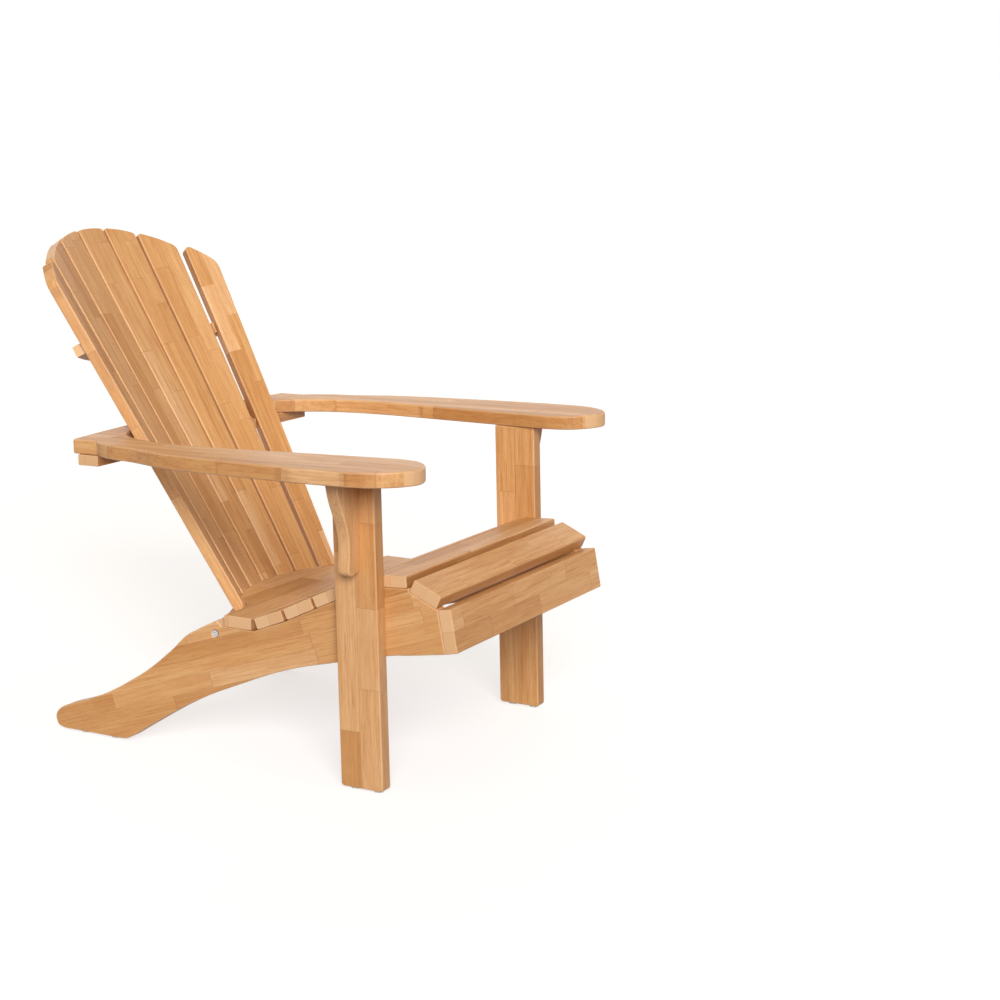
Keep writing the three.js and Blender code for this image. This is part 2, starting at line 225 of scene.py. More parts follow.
# %% Teak: end grain
RING_SPACING_MM = 3.2
RADIANS_PER_UNIT = 20
BLOCK_TONE_SHARE = 0.35

flat_place = add(
    wood, "ShaderNodeVectorMath", {0: moved, 1: (0.0, 1.0, 1.0)}, operation="MULTIPLY"
).outputs[0]
rings = add(
    wood,
    "ShaderNodeTexWave",
    {
        "Vector": flat_place,
        "Scale": 2 * math.pi / (RADIANS_PER_UNIT * RING_SPACING_MM * MM),
        "Distortion": 2.5,
        "Detail": 2.0,
        "Detail Scale": 0.6,
    },
    wave_type="RINGS",
    rings_direction="X",
).outputs["Fac"]
inputs = {"Value": rings, "From Min": 0.2, "From Max": 0.9, "To Max": 0.5}
ring_amount = add(wood, "ShaderNodeMapRange", inputs).outputs[0]
inputs = {0: ring_amount, 6: colour("#e4bb90"), 7: colour("#c9966a")}
end_colour = add(wood, "ShaderNodeMix", inputs, data_type="RGBA").outputs[2]
inputs = {0: BLOCK_TONE_SHARE, 6: end_colour, 7: tone.outputs[0]}
end_colour = add(wood, "ShaderNodeMix", inputs, data_type="RGBA").outputs[2]
inputs = {0: marks.outputs["X"], 6: body, 7: end_colour}
body = add(wood, "ShaderNodeMix", inputs, data_type="RGBA").outputs[2]
print("teak: growth rings", RING_SPACING_MM, "mm apart")

# %% [markdown]
# Glue lines are thin and a little darker than the wood. They lie where a stave or a block ends, so the
# distance to the nearest whole number of staves or blocks draws them.

# %% Teak: glue lines
STAVE_SEAM = 0.010  # parts of a stave's width
BLOCK_SEAM = 0.0035  # parts of a block's length
SEAM_SHARE = 0.22

edges = []
for count, seam_width in ((place.outputs["Y"], STAVE_SEAM), (along_blocks, BLOCK_SEAM)):
    part = add(wood, "ShaderNodeMath", {0: count}, operation="FRACT").outputs[0]
    off = add(wood, "ShaderNodeMath", {0: part, 1: 0.5}, operation="SUBTRACT").outputs[0]
    from_middle = add(wood, "ShaderNodeMath", {0: off}, operation="ABSOLUTE").outputs[0]
    inputs = {"Value": from_middle, "From Min": 0.5 - 2 * seam_width, "From Max": 0.5 - seam_width}
    edges.append(add(wood, "ShaderNodeMapRange", inputs).outputs[0])
seam = add(wood, "ShaderNodeMath", {0: edges[0], 1: edges[1]}, operation="MAXIMUM").outputs[0]
faint_seam = add(wood, "ShaderNodeMath", {0: seam, 1: SEAM_SHARE}, operation="MULTIPLY").outputs[0]
inputs = {0: faint_seam, 6: body, 7: colour("#94653a")}
body = add(wood, "ShaderNodeMix", inputs, data_type="RGBA", blend_type="MULTIPLY").outputs[2]
print("teak: glue lines between staves and blocks")

# %% [markdown]
# The eased edges are painted paler, as a painted highlight along each edge, and are made a little
# smoother. Streaks and pores are softer wood, so they lie a little lower and shine less. Oil soaks in and
# leaves no film, so the shine stays soft.

# %% Teak: painted highlight on the eased edges, bump and shine
EDGE_HIGHLIGHT_SHARE = 0.22
EDGE_SHINE = -0.06
TEAK_IOR = 1.48

# painted highlight: the eased edges are mixed towards a pale colour, whatever the light
edge_highlight = add(wood, "ShaderNodeMath", {0: marks.outputs["Y"], 1: EDGE_HIGHLIGHT_SHARE}, operation="MULTIPLY").outputs[0]
inputs = {0: edge_highlight, 6: body, 7: colour("#efca9d")}
body = add(wood, "ShaderNodeMix", inputs, data_type="RGBA").outputs[2]

height = add(wood, "ShaderNodeMath", {0: pattern["pores"], 1: -0.7}, operation="MULTIPLY").outputs[0]
for lowered, depth in ((pattern["streaks"], -0.6), (seam, -0.5)):
    inputs = {0: lowered, 1: depth, 2: height}
    height = add(wood, "ShaderNodeMath", inputs, operation="MULTIPLY_ADD").outputs[0]
bump = add(wood, "ShaderNodeBump", {"Strength": 0.25, "Distance": 0.6 * MM, "Height": height})

inputs = {"Value": pattern["streaks"], "From Min": 0.3, "From Max": 0.8, "To Min": 0.42, "To Max": 0.58}
rough_wood = add(wood, "ShaderNodeMapRange", inputs).outputs[0]
inputs = {0: marks.outputs["Y"], 1: EDGE_SHINE, 2: rough_wood}
roughness = add(wood, "ShaderNodeMath", inputs, operation="MULTIPLY_ADD").outputs[0]
oiled = add(
    wood,
    "ShaderNodeBsdfPrincipled",
    {"Base Color": body, "Roughness": roughness, "Normal": bump.outputs[0], "IOR": TEAK_IOR},
)
add(wood, "ShaderNodeOutputMaterial", {"Surface": oiled.outputs[0]})
print("teak finished:", len(wood.nodes), "nodes")

# %% [markdown]
# ## Stainless steel and white nylon
# The two rail bolts are stainless steel, tumbled with small stones, which leaves a soft grey shine
# without a direction. The glides are moulded nylon: white, slightly waxy, with a faint orange-peel
# surface. One function serves both, because each is one noise that changes the colour, the shine and the
# height a little. The noise is about 1 mm across on the steel and 4 mm on the nylon, coarser than real,
# so that it shows.


# %% Steel and nylon
def hardware_finish(name, base, other, cycles, spread, metallic, height_mm):
    made = bpy.data.materials.new(name)
    made.use_nodes = True
    tree = made.node_tree
    tree.nodes.clear()
    where = add(tree, "ShaderNodeTexCoord").outputs["Object"]
    noise = add(tree, "ShaderNodeTexNoise", {"Vector": where, "Scale": cycles, "Detail": 4.0})
    cloud = noise.outputs["Fac"]
    inputs = {0: cloud, 6: colour(base), 7: colour(other)}
    mix = add(tree, "ShaderNodeMix", inputs, data_type="RGBA")
    shine = add(tree, "ShaderNodeMapRange", {"Value": cloud, "To Min": spread[0], "To Max": spread[1]})
    raised = add(tree, "ShaderNodeBump", {"Strength": 0.3, "Distance": height_mm * MM, "Height": cloud})
    shader = add(
        tree,
        "ShaderNodeBsdfPrincipled",
        {
            "Base Color": mix.outputs[2],
            "Roughness": shine.outputs[0],
            "Metallic": metallic,
            "Normal": raised.outputs[0],
        },
    )
    add(tree, "ShaderNodeOutputMaterial", {"Surface": shader.outputs[0]})
    return made


steel = hardware_finish("tumbled_stainless_steel", "#dcdddd", "#b4b6b7", 900.0, (0.22, 0.4), 1.0, 0.1)
nylon = hardware_finish("moulded_white_nylon", "#f3f2ee", "#dfddd6", 260.0, (0.38, 0.6), 0.0, 0.2)
print("materials:", [m.name for m in (teak, steel, nylon)])

# %% [markdown]
# ## One tree for every sawn board
# Almost every piece of the chair is a board sawn to an outline. The outline is a loop of corners drawn in
# a plane, and each corner carries its own rounding in an attribute called "fillet". The tree turns the
# loop into a curve, rounds the corners, fills it, and pushes the face out to the board's thickness.
# Modelling each board by hand would hide this rule, and the tree keeps its sizes where they can be
# changed.


# %% The sawn board tree
def new_tree(name, sockets):
    tree = bpy.data.node_groups.new(name, "GeometryNodeTree")
    for label, kind in sockets.items():
        tree.interface.new_socket(label, in_out="INPUT", socket_type="NodeSocket" + kind)
    tree.interface.new_socket("Geometry", in_out="OUTPUT", socket_type="NodeSocketGeometry")
    return tree, add(tree, "NodeGroupInput").outputs


def end_tree(tree, geometry, material):
    real = add(tree, "GeometryNodeRealizeInstances", {0: geometry})
    painted = add(tree, "GeometryNodeSetMaterial", {0: real.outputs[0], "Material": material})
    add(tree, "NodeGroupOutput", {0: painted.outputs[0]})
    return tree


def sawn_board_tree():
    sizes = {"Outline": "Geometry", "Thickness": "Float", "Corner steps": "Int", "Wood": "Material"}
    tree, given = new_tree("Sawn board", sizes)
    loop = add(tree, "GeometryNodeMeshToCurve", {0: given["Outline"]})
    radius = add(tree, "GeometryNodeInputNamedAttribute", {"Name": "fillet"}, data_type="FLOAT")
    rounded = add(
        tree,
        "GeometryNodeFilletCurve",
        {
            "Curve": loop.outputs[0],
            "Count": given["Corner steps"],
            "Radius": radius.outputs[0],
            "Limit Radius": True,
        },
        mode="POLY",
    )
    face = add(tree, "GeometryNodeFillCurve", {0: rounded.outputs[0]}, mode="NGONS")
    pushed = add(
        tree,
        "GeometryNodeExtrudeMesh",
        {
            "Mesh": face.outputs[0],
            "Offset": (0.0, 0.0, 1.0),
            "Offset Scale": given["Thickness"],
            "Individual": False,
        },
    )
    bottom = add(tree, "GeometryNodeFlipFaces", {0: face.outputs[0]})
    closed = add(tree, "GeometryNodeJoinGeometry")
    tree.links.new(pushed.outputs[0], closed.inputs[0])
    tree.links.new(bottom.outputs[0], closed.inputs[0])
    merged = add(tree, "GeometryNodeMergeByDistance", {0: closed.outputs[0], "Distance": 0.01 * MM})
    return end_tree(tree, merged.outputs[0], given["Wood"])


sawn_board = sawn_board_tree()
print("tree", sawn_board.name, "has", len(sawn_board.nodes), "nodes")

# %% [markdown]
# A tree only becomes a piece when its result is taken out as a plain mesh. The helper below sets the
# tree's inputs by their identifiers, takes the evaluated mesh, and removes the modifier. The other one
# bevels the edges, because sanded teak has no sharp edge: three segments catch a soft line of light along
# each board. A tree can leave an empty material slot beside the one it sets, so only the set one is kept.
# Weighted normals keep the broad faces flat beside those narrow bevels.


# %% From a tree to a finished mesh
SMOOTH_BELOW = 38.0  # degrees


def modifier_result(piece):
    graph = bpy.context.evaluated_depsgraph_get()
    mesh = bpy.data.meshes.new_from_object(piece.evaluated_get(graph))
    piece.modifiers.clear()
    piece.data = mesh
    return piece


def grow(name, base, tree, **sizes):
    piece = bpy.data.objects.new(name, base)
    scene.collection.objects.link(piece)
    modifier = piece.modifiers.new("tree", "NODES")
    modifier.node_group = tree
    for item in tree.interface.items_tree:
        if item.in_out == "INPUT" and item.name in sizes:
            modifier[item.identifier] = sizes[item.name]
    modifier_result(piece)
    finish = [m for m in piece.data.materials if m][0]
    piece.data.materials.clear()
    piece.data.materials.append(finish)
    return piece


def ease(piece, width_mm, segments=3, angle=32.0):
    """Rounds the edges that are sharper than the angle, in degrees, and sets the shading."""
    if width_mm:
        bevel = piece.modifiers.new("ease", "BEVEL")
        bevel.width = width_mm * MM
        bevel.segments = segments
        bevel.limit_method = "ANGLE"
        bevel.angle_limit = math.radians(angle)
        bevel.use_clamp_overlap = False
        modifier_result(piece)
    piece.data.shade_smooth()
    piece.data.set_sharp_from_angle(angle=math.radians(SMOOTH_BELOW))
    piece.modifiers.new("flats", "WEIGHTED_NORMAL").keep_sharp = True
    return modifier_result(piece)


print("helpers ready; bevels have 3 segments")

# %% [markdown]
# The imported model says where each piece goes. A piece is built the right way up and round, and is then
# moved so that the middle of its box is the middle of its node's box. The difference of the two sizes is
# printed, so a slip in a drawing shows at once.


# %% Put a piece where its node is
def box_of(mesh):
    spots = [v.co for v in mesh.vertices]
    low = Vector([min(p[n] for p in spots) for n in range(3)])
    high = Vector([max(p[n] for p in spots) for n in range(3)])
    return low, high


def settle(piece, node):
    """Moves a piece's mesh to the middle of its node's box."""
    low, high = box_of(piece.data)
    node_low, node_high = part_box(node)
    piece.data.transform(Matrix.Translation((node_low + node_high - low - high) / 2))
    off = (high - low) - (node_high - node_low)
    print(f"{node}: size differs from its node by", [round(v / MM, 2) for v in off], "mm")
    return piece


print("pieces are centred on their nodes' boxes")

# %% [markdown]
# The grain of a board follows its length, so each board is given its own directions. Two boards must not
# show the same wood either: a random start is drawn for each, both for its blocks and for its figure.
# Faces that look along the grain are marked as end grain, and the narrow slanting faces of the bevels as
# eased edges, which the teak paints paler as a painted highlight.

# %% Lay the grain
SEED_REACH = 50.0  # blocks, the most by which a board's blocks are shifted
GRAIN_REACH = 4.0  # metres, the most by which a board's figure is moved
FIRST_STAVE = 8  # keeps the count of staves above nothing
END_FACING = 0.8
EDGE_FACING = (0.12, 0.985)
EDGE_AREA = 0.004  # square metres


def lay_grain(piece, along, across, staves, block_mm, flat, width=None):
    """Writes the three attributes that the teak reads, from directions along and across the board and out of
    its flat face. The staves share the board's width, or the given one."""
    along = Vector(along).normalized()
    across = (Vector(across) - along * Vector(across).dot(along)).normalized()
    through = along.cross(across)
    mesh = piece.data
    spots = [v.co for v in mesh.vertices]
    sides = [p.dot(across) for p in spots]
    middle = (min(sides) + max(sides)) / 2
    stave_width = (width * MM if width else max(sides) - min(sides)) / staves
    seed = draw.random() * SEED_REACH
    away = Vector((draw.random(), draw.random(), draw.random())) * GRAIN_REACH
    places = mesh.attributes.new("grain", "FLOAT_VECTOR", "POINT").data
    counts = mesh.attributes.new("stave", "FLOAT_VECTOR", "POINT").data
    for n, p in enumerate(spots):
        places[n].vector = Vector((p.dot(along), p.dot(across), p.dot(through))) + away
        counts[n].vector = (
            p.dot(along) / (block_mm * MM) + seed,
            (p.dot(across) - middle) / stave_width + staves / 2 + FIRST_STAVE,
            round(seed, 2),
        )
    marks = mesh.attributes.new("finish", "FLOAT_VECTOR", "CORNER").data
    flat = flat.normalized()
    for face in mesh.polygons:
        is_end = abs(face.normal.dot(along)) > END_FACING
        is_narrow = face.area < EDGE_AREA
        is_edge = is_narrow and EDGE_FACING[0] < abs(face.normal.dot(flat)) < EDGE_FACING[1]
        for n in face.loop_indices:
            marks[n].vector = (float(is_end), float(is_edge), 0.0)
    return piece


def hand_in(piece, node):
    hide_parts(node)
    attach(piece, "root")
    return piece


print("grain and placing helpers ready")

# %% [markdown]
# Outlines mix straight corners with long sweeps. A sweep is given by a few points, as a maker would
# strike it with a batten, and a Catmull-Rom curve runs through them. A corner's third number is its
# setback: how far from the corner the rounding starts, which a maker can mark with a pencil.


# %% Outlines
SWEEP_STEPS = 10
CORNER_STEPS = 6


def sweep(spots):
    """A smooth run through the points; the last point is left to whatever comes next."""
    spots = [Vector(p) for p in spots]
    ends = [2 * spots[0] - spots[1], *spots, 2 * spots[-1] - spots[-2]]
    run = []
    for a, b, c, d in zip(ends, ends[1:], ends[2:], ends[3:]):
        for n in range(SWEEP_STEPS):
            t = n / SWEEP_STEPS
            bend = (2 * a - 5 * b + 4 * c - d) * t**2 + (3 * b - a - 3 * c + d) * t**3
            p = 0.5 * (2 * b + (c - a) * t + bend)
            run.append((p.x, p.y, 0.0))
    return run


def fillet_radius(before, corner, after, setback):
    """The radius of the arc that leaves both edges of a corner at the given distance from it."""
    into, away = (Vector(p[:2]) - Vector(corner[:2]) for p in (before, after))
    if setback == 0 or into.length < 1e-6 or away.length < 1e-6:
        return 0.0
    return setback * math.tan(into.angle(away) / 2)


def outline(corners):
    """A closed loop in the XY plane from (x, y, setback) corners in millimetres."""
    mesh = bpy.data.meshes.new("outline")
    count = len(corners)
    mesh.from_pydata(
        [(x * MM, y * MM, 0.0) for x, y, _ in corners],
        [(n, (n + 1) % count) for n in range(count)],
        [],
    )
    radii = [
        fillet_radius(corners[n - 1], corner, corners[(n + 1) % count], corner[2]) * MM
        for n, corner in enumerate(corners)
    ]
    mesh.attributes.new("fillet", "FLOAT", "POINT").data.foreach_set("value", radii)
    return mesh


def saw(name, corners, thickness, stand):
    """A board from its outline; stand turns it from the drawing plane into the chair."""
    sizes = {"Thickness": thickness * MM, "Corner steps": CORNER_STEPS, "Wood": teak}
    piece = grow(name, outline(corners), sawn_board, **sizes)
    piece.data.transform(stand)
    return piece


SIDE_ON = Matrix(((0, 0, 1, 0), (1, 0, 0, 0), (0, 1, 0, 0), (0, 0, 0, 1)))
X, Y, Z = Vector((1, 0, 0)), Vector((0, 1, 0)), Vector((0, 0, 1))
SIDES = {"right": -1, "left": 1}
print("outline helpers ready; a side view is drawn as (y, z) and stood up with SIDE_ON")

# %% [markdown]
# ## Back slats
# Seven slats stand on a leaning cone, hollow towards the sitter. Each one is flat and tapers with the
# cone, and the seven are cut to one arched top. The two outer ones splay, so their gap opens towards the
# top. The rule gives every slat, so the slats come from the numbers of the cone and not from seven
# drawings. Each edge lies at a number of slat angles from the middle of the back, and the slats are
# numbered from the sitter's right.

# %% The cone of the backrest
CONE_LEAN = math.radians(32)
CONE_RADIUS = 325
CONE_FLARE = 0.2365
SLAT_ANGLE = 0.145
SLAT_EDGES = [0.5, 1.5, 2.6, 3.48]  # slat angles from the middle of the back
SLAT_GAP = 5.5
SLAT_LENGTH = 841
SLAT_START = 8
SLAT_THICKNESS = 21
CROWN_RADIUS = 270
FOOT_SETBACK = 1
CROWN_SETBACK = 14
EAR_SETBACK = 6  # of the middle slat's upper corners; it grows with the square of the angle
EAR_GROWTH = 52
OUTER_SPLAY = 11

up = Vector((0, math.sin(CONE_LEAN), math.cos(CONE_LEAN)))
rearward = Vector((0, math.cos(CONE_LEAN), -math.sin(CONE_LEAN)))


def on_cone(phi, t):
    radius = CONE_RADIUS + CONE_FLARE * t
    return up * t + rearward * (radius * (math.cos(phi) - 1)) + X * (radius * math.sin(phi))


def crown(phi):
    arc = phi * (CONE_RADIUS + CONE_FLARE * SLAT_LENGTH)
    return SLAT_LENGTH - arc**2 / (2 * CROWN_RADIUS)


def back_slat(number):
    """One slat: its directions on the cone, its outline of five corners, and the finished board."""
    place = number - 4
    hand_of_slat = (place > 0) - (place < 0)
    outer = SLAT_EDGES[abs(place)] * SLAT_ANGLE
    inner = SLAT_EDGES[abs(place) - 1] * SLAT_ANGLE if place else -outer
    phi = hand_of_slat * (outer + inner) / 2
    half_angle = (outer - inner) / 2
    foot = on_cone(phi, 0)
    along = (on_cone(phi, 100) - foot).normalized()
    tangent = X * math.cos(phi) - rearward * math.sin(phi)
    across = (tangent - along * tangent.dot(along)).normalized()
    out = across.cross(along)
    if out.dot(rearward) < 0:
        across, out = -across, -out

    hand = math.copysign(1.0, across.x)
    splay = hand_of_slat * OUTER_SPLAY if abs(place) == 3 else 0

    def corner(side, t, inset, setback):
        offset = on_cone(phi + side * half_angle, t) - foot
        aside = hand * (splay * t / SLAT_LENGTH - side * inset)
        return offset.dot(across) + aside, offset.dot(along), setback

    ear = EAR_SETBACK + EAR_GROWTH * phi**2
    low, high = phi - half_angle, phi + half_angle
    corners = [
        corner(-1, SLAT_START, SLAT_GAP / 2, FOOT_SETBACK),
        corner(1, SLAT_START, SLAT_GAP / 2, FOOT_SETBACK),
        corner(1, crown(high), SLAT_GAP / 2, ear),
        corner(0, crown(phi), 0, CROWN_SETBACK),
        corner(-1, crown(low), SLAT_GAP / 2, ear),
    ]
    basis = Matrix((across, along, out)).transposed().to_4x4()
    node = f"back_slat_{number}"
    piece = ease(settle(saw(node + "_finished", corners, SLAT_THICKNESS, basis), node), 2.2)
    return hand_in(lay_grain(piece, along, across, staves=2, block_mm=210.0, flat=out), node)


back_slats = [back_slat(number) for number in range(1, 8)]
print(len(back_slats), "back slats,", sum(len(s.data.polygons) for s in back_slats), "faces")

# %% [markdown]
# ## Seat slats
# The seat boards run across the chair, so each is a short side outline pushed out to the seat's width.
# Their widths and tilts follow the dip of the seat, and the last one, the nosing, tips down at the front.

# %% Seat slats and nosing
SEAT_WIDTH = 544
NOSING_THICKNESS = 24
# width, rise in degrees, thickness, setback of the upper front corner
SEAT_SLATS = {
    "seat_slat_2": (61.5, 21.5, SLAT_THICKNESS, 3),
    "seat_slat_3": (62.5, 25.5, SLAT_THICKNESS, 3),
    "seat_slat_4": (62.5, 25.0, SLAT_THICKNESS, 3),
    "seat_slat_5": (62.5, 22.0, SLAT_THICKNESS, 3),
    "seat_slat_6": (62.6, 3.6, SLAT_THICKNESS, 3),
    "seat_nosing": (57.2, -24.6, NOSING_THICKNESS, 5),
}


def seat_slat(node, width, rise, thickness, front_setback):
    turn = math.radians(rise)
    run = Vector((-math.cos(turn), math.sin(turn)))
    down = Vector((-run.y, run.x))
    spots = [Vector((0, 0)), run * width, run * width + down * thickness, down * thickness]
    setbacks = (3, front_setback, 3, 3)
    corners = [(p.x, p.y, setback) for p, setback in zip(spots, setbacks)]
    piece = ease(settle(saw(node + "_finished", corners, SEAT_WIDTH, SIDE_ON), node), 1.6)
    return hand_in(lay_grain(piece, X, (0, *run), staves=2, block_mm=250.0, flat=X), node)


seat_slats = [seat_slat(node, *sizes) for node, sizes in SEAT_SLATS.items()]
print(len(seat_slats), "seat boards,", sum(len(s.data.polygons) for s in seat_slats), "faces")

# %% [markdown]
# ## Apron
# The front apron closes the seat below the nosing. It stands a little out of square, with its top further
# back than its foot, so it is drawn from the side as four corners and pushed out to the seat's width.

# %% Front apron
APRON = [(-95.2, 331.2, 2), (-119.6, 334.4, 2), (-133.1, 260.8, 2), (-109.4, 255.5, 2)]
APRON_LEAN = 0.18
apron = ease(settle(saw("front_apron_finished", APRON, SEAT_WIDTH, SIDE_ON), "front_apron"), 1.8)
hand_in(lay_grain(apron, X, (0, APRON_LEAN, 1), staves=2, block_mm=260.0, flat=X), "front_apron")
print("apron:", len(apron.data.polygons), "faces")

# %% [markdown]
# ## Side rails
# Each rail is one wide board sawn from the rear foot up over a shoulder, along the bed that carries the
# seat slats, and back under a long hollow. The bed is worked out from the undersides of the slats: each
# dip in it lies where the lines of two neighbouring slats cross, so the slats sit on it.

# %% Side rail outline
BED_GAP = 0.3
REAR_BOARD_UNDER = (350, 247.2)
BED_FRONT = 65.1  # along seat slat 6, where its bed ends
NOSING_BED = (-1, 60)  # along the nosing, where its bed begins and ends
# the upper rear corners of the six boards of the seat
SLAT_PLACES = [(280.2, 269.7), (218.0, 294.4), (156.6, 323.6), (94.6, 352.2), (28.6, 377.9), (-49.8, 377.5)]


def underside(corner, rise, depth, along=0.0):
    """A line along the underside of a slat: a point on it and its direction."""
    turn = math.radians(rise)
    run = Vector((-math.cos(turn), math.sin(turn)))
    return Vector(corner) + Vector((-run.y, run.x)) * depth + run * along, run


def crossing(first, second):
    """The point where two lines meet, each given by a point and a direction."""
    (p, u), (q, v) = first, second
    s = ((q.x - p.x) * v.y - (q.y - p.y) * v.x) / (u.x * v.y - u.y * v.x)
    return p + u * s


def rail_corners():
    bed = SLAT_THICKNESS + BED_GAP
    nosing_bed = NOSING_THICKNESS + BED_GAP
    rises = [sizes[1] for sizes in SEAT_SLATS.values()]
    lines = [underside((REAR_BOARD_UNDER[0], REAR_BOARD_UNDER[1] + SLAT_THICKNESS), 0.0, bed)]
    lines += [underside(spot, rise, bed) for spot, rise in zip(SLAT_PLACES[:5], rises)]
    dips = [crossing(a, b) for a, b in zip(lines, lines[1:])]
    dips.append(underside(SLAT_PLACES[4], rises[4], bed, BED_FRONT)[0])
    dips += [underside(SLAT_PLACES[5], rises[5], nosing_bed, along)[0] for along in NOSING_BED]
    foot_and_shoulder = sweep(
        [(720, 4), (734, 9), (739.7, 25), (730, 40.5), (704, 53.3), (655, 70), (606, 92), (560, 118),
         (513, 148.5), (463, 189), (430, 219.5), (396, 239), (361.4, 256.5)]
    )
    hollow = sweep(
        [(-33.9, 243.7), (5.7, 237.8), (108, 212.8), (183.4, 194), (246.5, 172.8), (311.8, 145.8),
         (378.6, 116.8), (445.5, 82.1), (517.2, 38.6), (564.6, 9.2), (582, 4)]
    )
    return [
        *foot_and_shoulder,
        (361.4, 256.5, 1.5),
        (350.5, 246.9, 1),
        *[(p.x, p.y, 0) for p in dips],
        (-108.9, 255.4, 3),
        *hollow,
        (582, 4, 1),
    ]


print("rail outline has", len(rail_corners()), "corners")

# %% [markdown]
# A bolt goes through each side rail into the lower back rail, and its head sits in a round recess in the
# rail's outer face. The tree stands three posts on one another's axis: the head and the shank become one
# solid, and a six-sided post is taken out of the head, where the key goes in.


# %% The bolt tree
HEAD_SIDES = 48
SHANK_SIDES = 24
SOCKET_SIDES = 6
SHANK_OVERLAP = 0.5 * MM
SOCKET_OVERSHOOT = 2 * MM


def bolt_tree():
    sizes = {
        "Head radius": "Float",
        "Head height": "Float",
        "Shank radius": "Float",
        "Shank length": "Float",
        "Socket radius": "Float",
        "Socket depth": "Float",
        "Metal": "Material",
    }
    tree, given = new_tree("Socket head bolt", sizes)

    def post(radius, low, high, sides):
        """An upright post between two heights, which are given as sockets or numbers."""
        length = add(tree, "ShaderNodeMath", {0: high, 1: low}, operation="SUBTRACT")
        middle = add(tree, "ShaderNodeMath", {0: high, 1: low}, operation="ADD")
        half = add(tree, "ShaderNodeMath", {0: middle.outputs[0], 1: 0.5}, operation="MULTIPLY")
        inputs = {"Vertices": sides, "Radius": radius, "Depth": length.outputs[0]}
        standing = add(tree, "GeometryNodeMeshCylinder", inputs)
        lift = add(tree, "ShaderNodeCombineXYZ", {2: half.outputs[0]})
        inputs = {0: standing.outputs[0], "Translation": lift.outputs[0]}
        return add(tree, "GeometryNodeTransform", inputs).outputs[0]

    head_height = given["Head height"]
    shank_end = add(tree, "ShaderNodeMath", {0: given["Shank length"], 1: -1.0}, operation="MULTIPLY")
    inputs = {0: head_height, 1: given["Socket depth"]}
    socket_floor = add(tree, "ShaderNodeMath", inputs, operation="SUBTRACT")
    above_head = add(tree, "ShaderNodeMath", {0: head_height, 1: SOCKET_OVERSHOOT}, operation="ADD")
    head = post(given["Head radius"], 0.0, head_height, HEAD_SIDES)
    shank = post(given["Shank radius"], shank_end.outputs[0], SHANK_OVERLAP, SHANK_SIDES)
    socket = post(given["Socket radius"], socket_floor.outputs[0], above_head.outputs[0], SOCKET_SIDES)
    solid = add(tree, "GeometryNodeMeshBoolean", {1: head}, operation="UNION", solver="EXACT")
    tree.links.new(shank, solid.inputs[1])
    inputs = {0: solid.outputs[0], 1: socket}
    bolt = add(tree, "GeometryNodeMeshBoolean", inputs, operation="DIFFERENCE", solver="EXACT")
    return end_tree(tree, bolt.outputs[0], given["Metal"])


socket_bolt = bolt_tree()
print("tree", socket_bolt.name, "has", len(socket_bolt.nodes), "nodes")

# %% [markdown]
# The same tree makes the bolt and the cutter for its recess, with two sets of sizes. The cutter is a
# little wider, its head is long enough to reach out of the rail, and its socket is too thin to matter.
# Both grow upright and are then laid across the chair.

# %% Bolt and cutter from one tree
BOLT_SIZES = {
    "Head radius": 6.5,
    "Head height": 5.0,
    "Shank radius": 3.0,
    "Shank length": 60.3,
    "Socket radius": 3.3,
    "Socket depth": 2.9,
}
CLEARANCE = 0.5
CUTTER_SIZES = {
    **{size: BOLT_SIZES[size] + CLEARANCE for size in ("Head radius", "Shank radius", "Shank length")},
    "Head height": 12.0,
    "Socket radius": 0.01,
    "Socket depth": BOLT_SIZES["Socket depth"],
}


def bolt_piece(name, side, sizes):
    """A bolt that lies across the chair, its head towards the given side."""
    sizes = {label: size * MM for label, size in sizes.items()}
    piece = grow(name, bpy.data.meshes.new(name), socket_bolt, **sizes, Metal=steel)
    piece.data.transform(Matrix.Rotation(side * math.pi / 2, 4, "Y"))
    return piece


print("the recess is", 2 * CUTTER_SIZES["Head radius"], "mm wide")

# %% [markdown]
# A Boolean modifier takes the recess out of each rail before its edges are eased, so the rim of the
# recess is eased too. The grain of the rail runs with its slope, from the rear foot up to the front.

# %% Side rails and their bolts
RAIL_THICKNESS = 26
RAIL_SLOPE = math.radians(18)
RECESS_DEPTH = 6
for word, side in SIDES.items():
    bolt_node, rail_node = f"rail_bolt_{word}", f"side_rail_{word}"
    bolt = settle(bolt_piece(bolt_node + "_finished", side, BOLT_SIZES), bolt_node)
    hand_in(ease(bolt, 0.5, 2, 50.0), bolt_node)

    recess = bolt_piece("recess", side, CUTTER_SIZES)
    recess_floor = sum(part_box(bolt_node), Vector()) / 2
    recess_floor.x = side * (SEAT_WIDTH / 2 - RECESS_DEPTH) * MM
    recess.data.transform(Matrix.Translation(recess_floor))
    rail = settle(saw(rail_node + "_finished", rail_corners(), RAIL_THICKNESS, SIDE_ON), rail_node)
    drill = rail.modifiers.new("recess", "BOOLEAN")
    drill.object = recess
    drill.solver = "EXACT"
    modifier_result(rail)
    bpy.data.objects.remove(recess)
    ease(rail, 2.2)
    slope = Vector((0, -math.cos(RAIL_SLOPE), math.sin(RAIL_SLOPE)))
    across = Vector((0, math.sin(RAIL_SLOPE), math.cos(RAIL_SLOPE)))
    hand_in(lay_grain(rail, slope, across, staves=6, block_mm=330.0, flat=X), rail_node)
    print(rail_node, len(rail.data.polygons), "faces")

# %% [markdown]
# ## Legs
# A leg is a straight board outside the rail, leaning back a little over one degree, with its bottom
# corners rounded so that they don't split. Its top is cut to the slope of the arm.

# %% Legs
LEG_DEPTH = 84
LEG_SHIFT = math.tan(math.radians(1.26))
LEG_GAP = 0.3
ARM_FALL = 0.01523  # for each millimetre towards the rear
ARM_UNDER = 552.8  # above the ground, over the front edge of a leg's foot
GLIDE_HEIGHT = 4


